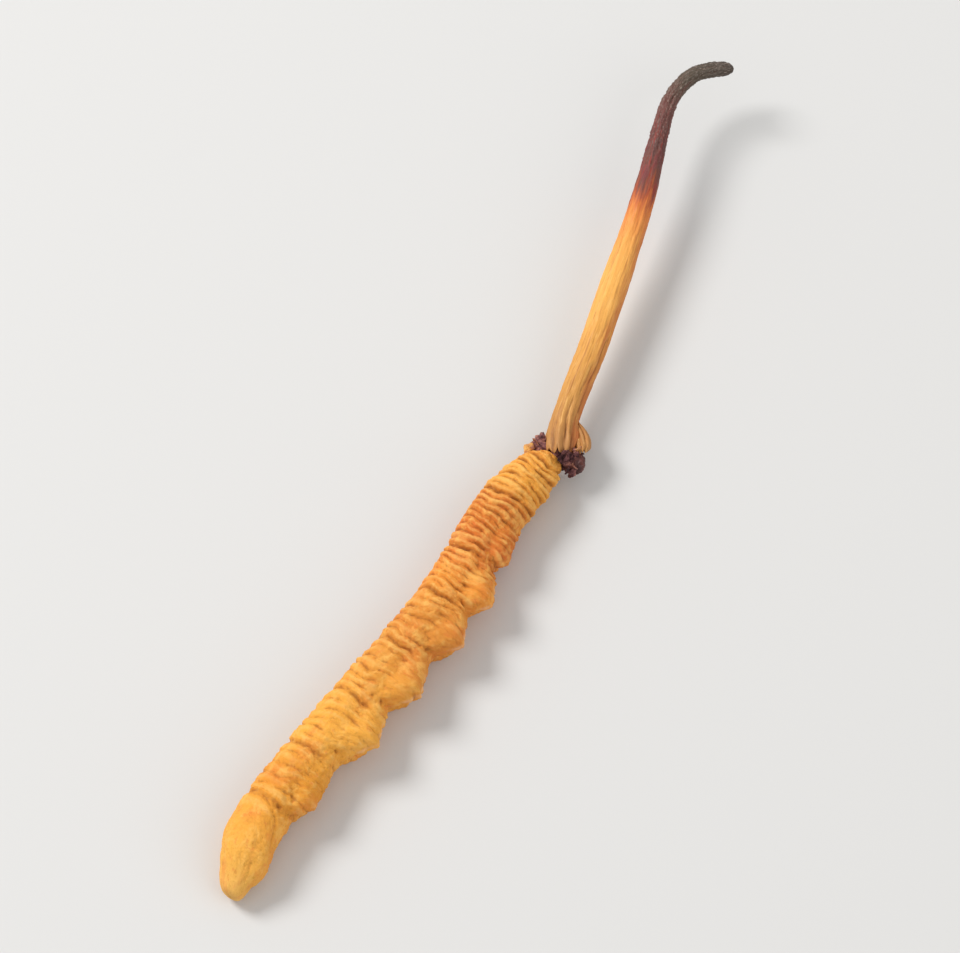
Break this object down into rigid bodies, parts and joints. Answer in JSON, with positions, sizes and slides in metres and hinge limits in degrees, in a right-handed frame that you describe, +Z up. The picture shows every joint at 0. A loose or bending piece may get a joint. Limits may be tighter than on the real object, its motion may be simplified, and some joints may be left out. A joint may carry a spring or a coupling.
{
  "type": "dried cordyceps",
  "caption": "Dried cordyceps lying on its side: the ringed body of a larva with stubby feet, a small hard head, and a slim fluted stalk with a hooked dark tip growing out of the head.",
  "frame": {"origin": "on the flat underside, below the middle of the larva's body", "axes": "+X runs along the body from its tail to its head and on to the stalk, +Y is the side of the larva's back, +Z is up"},
  "size_m": [0.0931, 0.0144, 0.0065],
  "materials": {
    "body_skin": "dry, matte, finely wrinkled golden-brown skin",
    "head_shell": "hard red-brown shell with a soft gloss",
    "stalk_fibre": "dry fibre, straw at the base, through orange to a dark grey-brown tip"
  },
  "bodies": {
    "root": {"larva_body": "body_skin", "head": "head_shell", "stalk": "stalk_fibre"}
  },
  "joints": []
}
